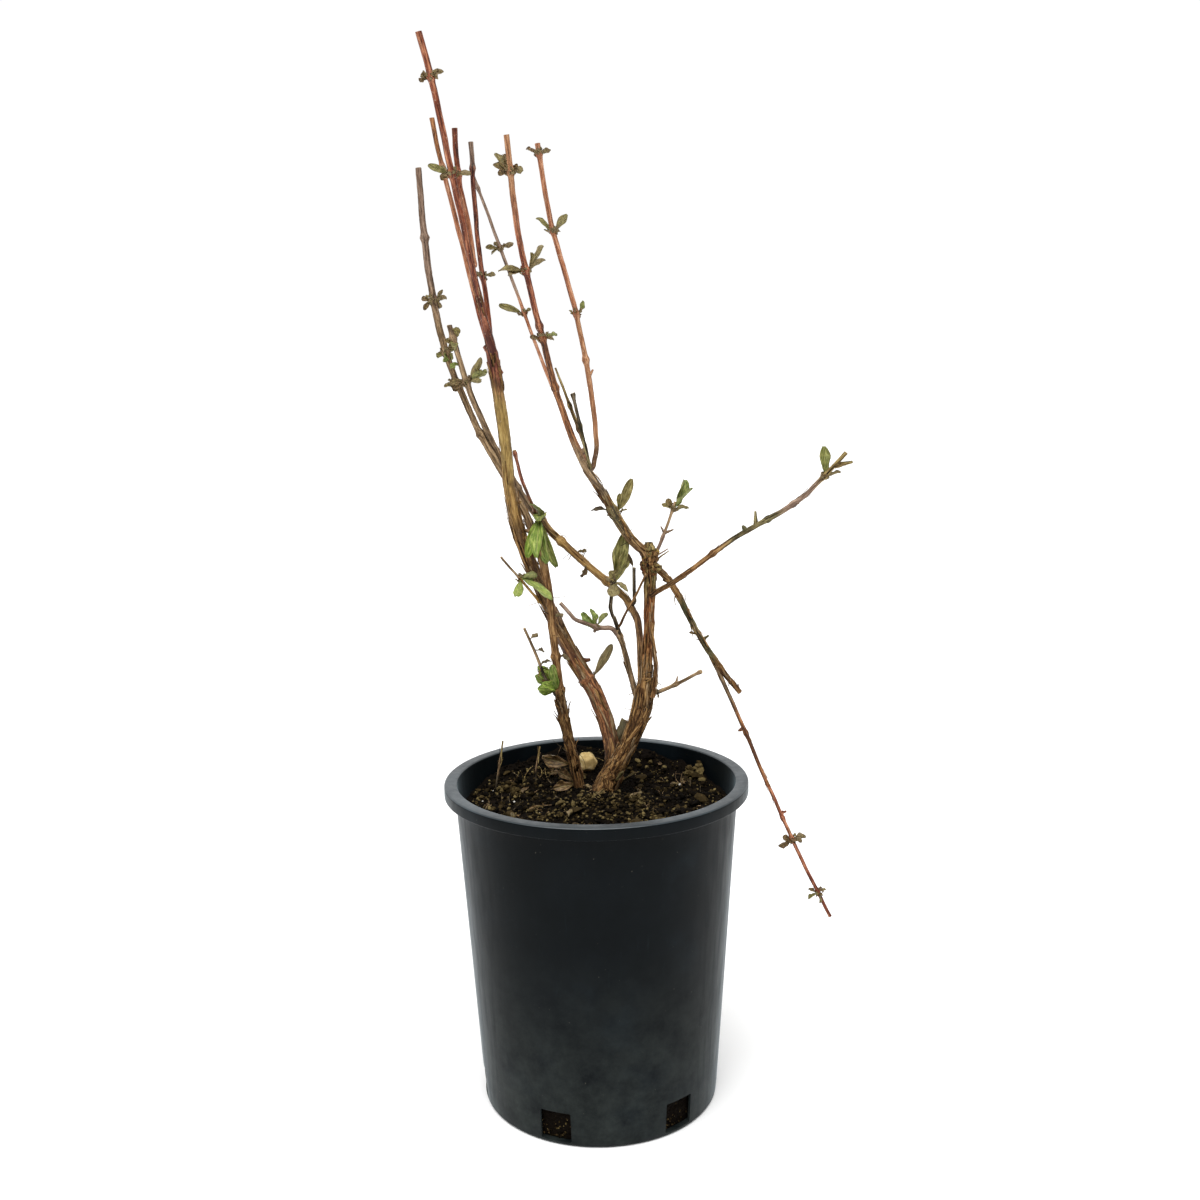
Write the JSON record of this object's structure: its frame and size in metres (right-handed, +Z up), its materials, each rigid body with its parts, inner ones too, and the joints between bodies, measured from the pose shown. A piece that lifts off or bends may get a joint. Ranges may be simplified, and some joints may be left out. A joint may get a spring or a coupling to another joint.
{
  "type": "potted haskap bush",
  "caption": "Young bare fruit bush: forked woody canes with small leaf pairs, growing from soil in a round nursery pot with a flat base.",
  "frame": {"origin": "centre of the pot's flat underside, on the surface that it stands on", "axes": "+Z up along the pot's axis; the bush's widest spread lies along X, with the long drooping branch towards +X; the front faces -Y"},
  "size_m": [0.2232, 0.165, 0.5624],
  "materials": {
    "pot_plastic": "satin",
    "potting_soil": "matte",
    "pebble": "matte",
    "old_bark": "matte",
    "grey_bark": "matte",
    "red_bark": "satin",
    "tan_bark": "satin",
    "lichen_bark": "matte",
    "dead_wood": "matte",
    "leaf": "satin",
    "straw": "matte"
  },
  "bodies": {
    "root": {"left_cane": "grey_bark", "right_cane": "old_bark", "main_cane": "old_bark", "diagonal_cane": "grey_bark", "right_strand": "old_bark", "leaning_cane": "tan_bark", "thin_shoot": "tan_bark", "upright_shoot": "tan_bark", "tall_shoot": "red_bark", "cut_shoot": "red_bark", "left_red_shoot": "red_bark", "dark_red_shoot": "red_bark", "rising_branch": "lichen_bark", "drooping_branch": "lichen_bark", "drooping_shoot": "red_bark", "slender_shoot": "dead_wood", "low_cane": "grey_bark", "fine_twig": "grey_bark", "left_reach": "grey_bark", "dark_twig": "dead_wood", "dead_twig_left": "dead_wood", "dead_twig_right": "dead_wood", "black_stub": "dead_wood", "short_side_twig": "grey_bark", "grey_spur": "dead_wood", "upper_spur": "grey_bark", "red_side_shoot": "red_bark", "dry_stalk_left": "straw", "dry_stalk_middle": "straw", "dry_stalk_right": "straw", "stone": "pebble", "soil": "potting_soil", "pot": "pot_plastic", "tall_shoot_tip_leaves": "leaf", "tall_shoot_leaves": "leaf", "dark_red_shoot_leaves": "leaf", "left_cane_bud": "leaf", "left_cane_scales": "leaf", "left_cane_upper_bud": "leaf", "diagonal_cane_leaves": "leaf", "leaning_cane_leaves_low": "leaf", "leaning_cane_leaves_mid": "leaf", "leaning_cane_leaves_top": "leaf", "thin_shoot_leaves_low": "leaf", "thin_shoot_leaves_top": "leaf", "upright_shoot_leaves_low": "leaf", "upright_shoot_leaves_mid": "leaf", "upright_shoot_leaves_top": "leaf", "rising_branch_leaf": "leaf", "leaning_cane_spur_leaf": "leaf", "slender_shoot_leaf": "leaf", "big_green_leaves": "leaf", "upper_spur_leaves": "leaf", "left_reach_leaves": "leaf", "dark_twig_leaf": "leaf", "main_cane_spur_leaf": "leaf", "left_cane_leaf_cluster": "leaf", "drooping_shoot_leaves": "leaf", "drooping_shoot_tip_leaves": "leaf"}
  },
  "joints": []
}
